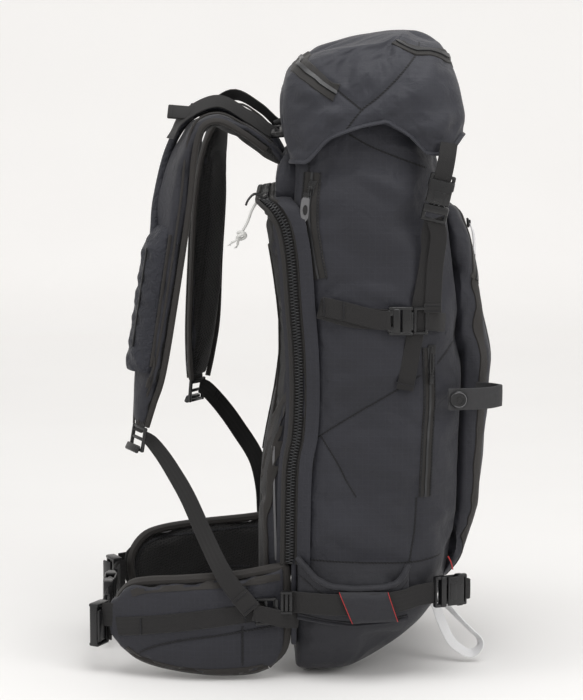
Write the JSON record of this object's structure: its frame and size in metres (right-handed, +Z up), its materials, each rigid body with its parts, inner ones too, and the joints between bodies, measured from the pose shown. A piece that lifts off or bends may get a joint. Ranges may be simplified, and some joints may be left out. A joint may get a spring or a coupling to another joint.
{
  "type": "avalanche airbag backpack",
  "caption": "Ski touring pack with a folded airbag, gas cylinder and pull trigger, shoulder harness, hip belt, hinged lid and back panel.",
  "frame": {"origin": "centre of the flat base that the bag stands on", "axes": "+Z up, +X away from the wearer's back towards the pack's front, -Y the wearer's left side"},
  "size_m": [0.4102, 0.309, 0.632],
  "materials": {
    "pack_cloth": "ripstop nylon, dark charcoal blue",
    "lid_cloth": "ripstop nylon, dark charcoal blue",
    "pocket_cloth": "stretch woven nylon",
    "foam_mesh": "spacer mesh over foam",
    "webbing": "ribbed nylon webbing",
    "white_webbing": "narrow polyester webbing",
    "cord_pull": "pale cord",
    "hard_black": "satin acetal",
    "zip_chain": "moulded teeth on tape",
    "grey_rubber": "moulded pull",
    "red_plastic": "satin",
    "stiff_sheet": "polyethylene sheet",
    "aluminium": "drawn",
    "balloon_cloth": "coated nylon",
    "steel": "turned"
  },
  "bodies": {
    "pack": {"bag_shell": "pack_cloth", "front_pocket": "pack_cloth", "storm_collar": "pack_cloth", "frame_sheet": "stiff_sheet", "frame_stays": "aluminium", "folded_airbag": "balloon_cloth", "gas_cylinder": "aluminium", "valve_body": "aluminium", "cable_housing": "hard_black", "side_pocket_left": "pocket_cloth", "side_pocket_right": "pocket_cloth", "lower_straps": "webbing", "lower_buckle_males": "hard_black", "side_bars": "hard_black", "lid_straps": "webbing", "lid_buckle_males": "hard_black", "side_zip": "zip_chain", "upper_zip": "zip_chain", "carry_loop": "webbing", "badge_stud": "hard_black", "back_zip": "zip_chain", "lower_webbing": "webbing"},
    "lid": {"lid_shell": "lid_cloth", "lid_buckle_females": "hard_black"},
    "lid_pull": {"lid_zip_pull": "grey_rubber"},
    "back_panel": {"back_panel": "foam_mesh"},
    "back_slider": {"back_zip_slider": "hard_black"},
    "back_pull": {"back_zip_pull": "cord_pull"},
    "front_pull": {"front_zip_pull": "cord_pull"},
    "side_slider": {"side_zip_slider": "hard_black"},
    "upper_slider": {"upper_zip_slider": "grey_rubber"},
    "lower_buckle_left": {"lower_buckle_female_left": "hard_black"},
    "lower_buckle_right": {"lower_buckle_female_right": "hard_black"},
    "side_strap_left": {"side_strap_left": "webbing", "side_hook_left": "hard_black"},
    "side_strap_right": {"side_strap_right": "webbing", "side_hook_right": "hard_black"},
    "ski_loop": {"ski_loop": "white_webbing"},
    "shoulder_left": {"shoulder_pad_left": "foam_mesh", "lifter_strap_left": "webbing", "strap_lock_left": "hard_black", "trigger_sleeve": "pocket_cloth", "trigger_cable": "hard_black"},
    "shoulder_right": {"shoulder_pad_right": "foam_mesh", "lifter_strap_right": "webbing", "strap_lock_right": "hard_black"},
    "trigger": {"trigger_handle": "red_plastic"},
    "valve_pin": {"valve_pin": "steel"},
    "hip_left": {"hip_pad_left": "foam_mesh", "hip_webbing_left": "webbing", "hip_slider_left": "hard_black", "belt_lock_left": "hard_black"},
    "hip_right": {"hip_pad_right": "foam_mesh", "hip_webbing_right": "webbing", "hip_slider_right": "hard_black", "belt_lock_right": "hard_black"},
    "belt_left": {"belt_band_left": "webbing", "belt_buckle_male": "hard_black"},
    "belt_right": {"belt_band_right": "webbing", "belt_buckle_female": "hard_black"}
  },
  "joints": [
    {"name": "lid_hinge", "type": "hinge", "parent": "pack", "child": "lid", "pos_m": [-0.031, 0, 0.52], "axis": [0, 1, 0], "range_deg": [-36, 0]},
    {"name": "lid_pull_swing", "type": "hinge", "parent": "lid", "child": "lid_pull", "pos_m": [0.1402, -0.044, 0.586], "axis": [0, 1, 0], "range_deg": [-50, 0]},
    {"name": "back_panel_hinge", "type": "hinge", "parent": "pack", "child": "back_panel", "pos_m": [-0.0305, 0, 0.026], "axis": [0, 1, 0], "range_deg": [-3, 0]},
    {"name": "back_slider_slide", "type": "slide", "parent": "pack", "child": "back_slider", "axis": [0, 1, 0], "range_m": [0, 0.2]},
    {"name": "back_pull_swing", "type": "hinge", "parent": "back_slider", "child": "back_pull", "pos_m": [-0.0675, -0.105, 0.472], "axis": [0, 1, 0], "range_deg": [0, 60]},
    {"name": "front_pull_swing", "type": "hinge", "parent": "pack", "child": "front_pull", "pos_m": [0.1498, -0.04, 0.4384], "axis": [0, 1, 0], "range_deg": [-50, 0]},
    {"name": "side_slider_slide", "type": "slide", "parent": "pack", "child": "side_slider", "axis": [0.0195, 0, -0.9998], "range_m": [0, 0.13]},
    {"name": "upper_slider_slide", "type": "slide", "parent": "pack", "child": "upper_slider", "axis": [0.1277, 0, -0.9918], "range_m": [0, 0.085]},
    {"name": "lower_buckle_left_release", "type": "slide", "parent": "pack", "child": "lower_buckle_left", "axis": [0.9063, 0.4226, 0], "range_m": [0, 0.03]},
    {"name": "lower_buckle_right_release", "type": "slide", "parent": "pack", "child": "lower_buckle_right", "axis": [0.9063, -0.4226, 0], "range_m": [0, 0.03]},
    {"name": "side_strap_left_unhook", "type": "hinge", "parent": "pack", "child": "side_strap_left", "pos_m": [0.004, -0.1456, 0.356], "axis": [0, 0, -1], "range_deg": [0, 60]},
    {"name": "side_strap_right_unhook", "type": "hinge", "parent": "pack", "child": "side_strap_right", "pos_m": [0.004, 0.1456, 0.356], "axis": [0, 0, 1], "range_deg": [0, 60]},
    {"name": "ski_loop_swing", "type": "hinge", "parent": "pack", "child": "ski_loop", "pos_m": [0.1083, -0.0685, 0.061], "axis": [0, 1, 0], "range_deg": [-35, 0]},
    {"name": "shoulder_left_hinge", "type": "hinge", "parent": "pack", "child": "shoulder_left", "pos_m": [-0.035, -0.05, 0.529], "axis": [0, 1, 0], "range_deg": [0, 50]},
    {"name": "shoulder_right_hinge", "type": "hinge", "parent": "pack", "child": "shoulder_right", "pos_m": [-0.035, 0.05, 0.529], "axis": [0, 1, 0], "range_deg": [0, 50]},
    {"name": "trigger_pull", "type": "slide", "parent": "shoulder_left", "child": "trigger", "axis": [-0.1496, -0.0479, -0.9876], "range_m": [0, 0.06]},
    {"name": "valve_pin_travel", "type": "slide", "parent": "pack", "child": "valve_pin", "axis": [0, 0, 1], "range_m": [0, 0.008]},
    {"name": "hip_left_hinge", "type": "hinge", "parent": "pack", "child": "hip_left", "pos_m": [-0.036, -0.128, 0.05], "axis": [0, 0, 1], "range_deg": [0, 55]},
    {"name": "hip_right_hinge", "type": "hinge", "parent": "pack", "child": "hip_right", "pos_m": [-0.036, 0.128, 0.05], "axis": [0, 0, -1], "range_deg": [0, 55]},
    {"name": "belt_left_hinge", "type": "hinge", "parent": "hip_left", "child": "belt_left", "pos_m": [-0.221, -0.09, 0.0448], "axis": [0, 0, 1], "range_deg": [-55, 0]},
    {"name": "belt_right_hinge", "type": "hinge", "parent": "hip_right", "child": "belt_right", "pos_m": [-0.221, 0.09, 0.0448], "axis": [0, 0, -1], "range_deg": [-55, 0]}
  ],
  "couplings": [
    {"joint": "valve_pin_travel", "follows": "trigger_pull", "ratio": 0.13},
    {"joint": "belt_left_hinge", "follows": "hip_left_hinge", "ratio": -1},
    {"joint": "belt_right_hinge", "follows": "hip_right_hinge", "ratio": -1}
  ]
}
